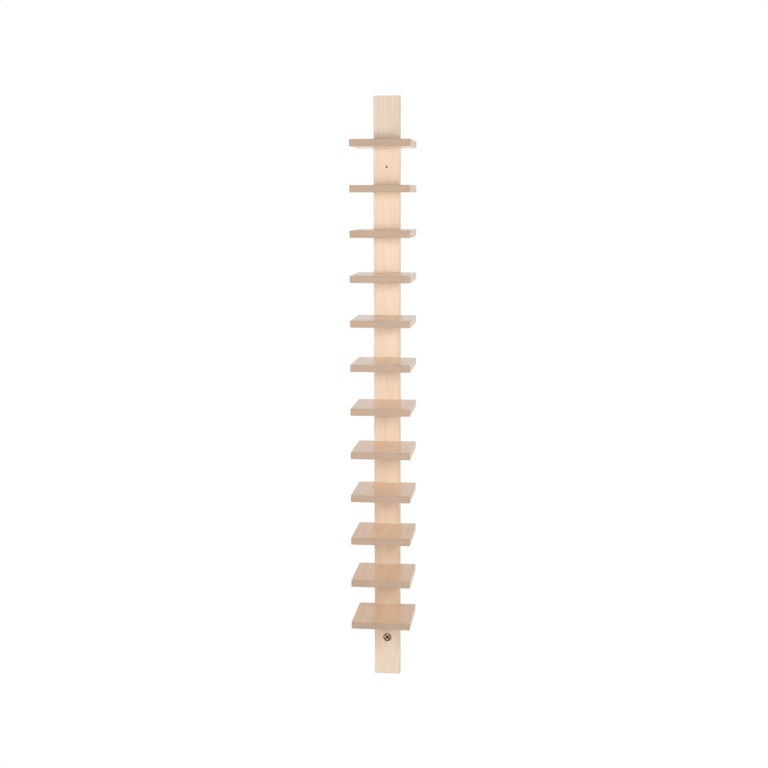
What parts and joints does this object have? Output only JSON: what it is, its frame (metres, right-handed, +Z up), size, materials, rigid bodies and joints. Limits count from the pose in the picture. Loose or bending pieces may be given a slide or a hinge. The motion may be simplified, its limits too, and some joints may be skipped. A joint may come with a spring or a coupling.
{
  "type": "spine bookshelf",
  "caption": "Tall narrow wall-hung bookshelf: an upright wooden board with small square shelves housed in its face, on which books lie flat in a column.",
  "frame": {"origin": "middle of the upper wall hole, on the wall plane, which is the spine's back face", "axes": "+X to the right of someone facing the shelf, +Y into the wall, +Z up along the spine"},
  "size_m": [0.187, 0.273, 1.9],
  "materials": {
    "spine_wood": "pale softwood, clear satin lacquer",
    "shelf_wood": "pale softwood, clear satin lacquer, end grain at the front",
    "plated_screws": "yellow passivated zinc",
    "wall_screw_steel": "bronze plated, satin",
    "washer_steel": "browned, satin"
  },
  "bodies": {
    "root": {"spine_board": "spine_wood", "shelf_01": "shelf_wood", "shelf_02": "shelf_wood", "shelf_03": "shelf_wood", "shelf_04": "shelf_wood", "shelf_05": "shelf_wood", "shelf_06": "shelf_wood", "shelf_07": "shelf_wood", "shelf_08": "shelf_wood", "shelf_09": "shelf_wood", "shelf_10": "shelf_wood", "shelf_11": "shelf_wood", "shelf_12": "shelf_wood", "shelf_screws_01": "plated_screws", "shelf_screws_02": "plated_screws", "shelf_screws_03": "plated_screws", "shelf_screws_04": "plated_screws", "shelf_screws_05": "plated_screws", "shelf_screws_06": "plated_screws", "shelf_screws_07": "plated_screws", "shelf_screws_08": "plated_screws", "shelf_screws_09": "plated_screws", "shelf_screws_10": "plated_screws", "shelf_screws_11": "plated_screws", "shelf_screws_12": "plated_screws", "wall_screw": "wall_screw_steel", "dished_washer": "washer_steel"}
  },
  "joints": []
}
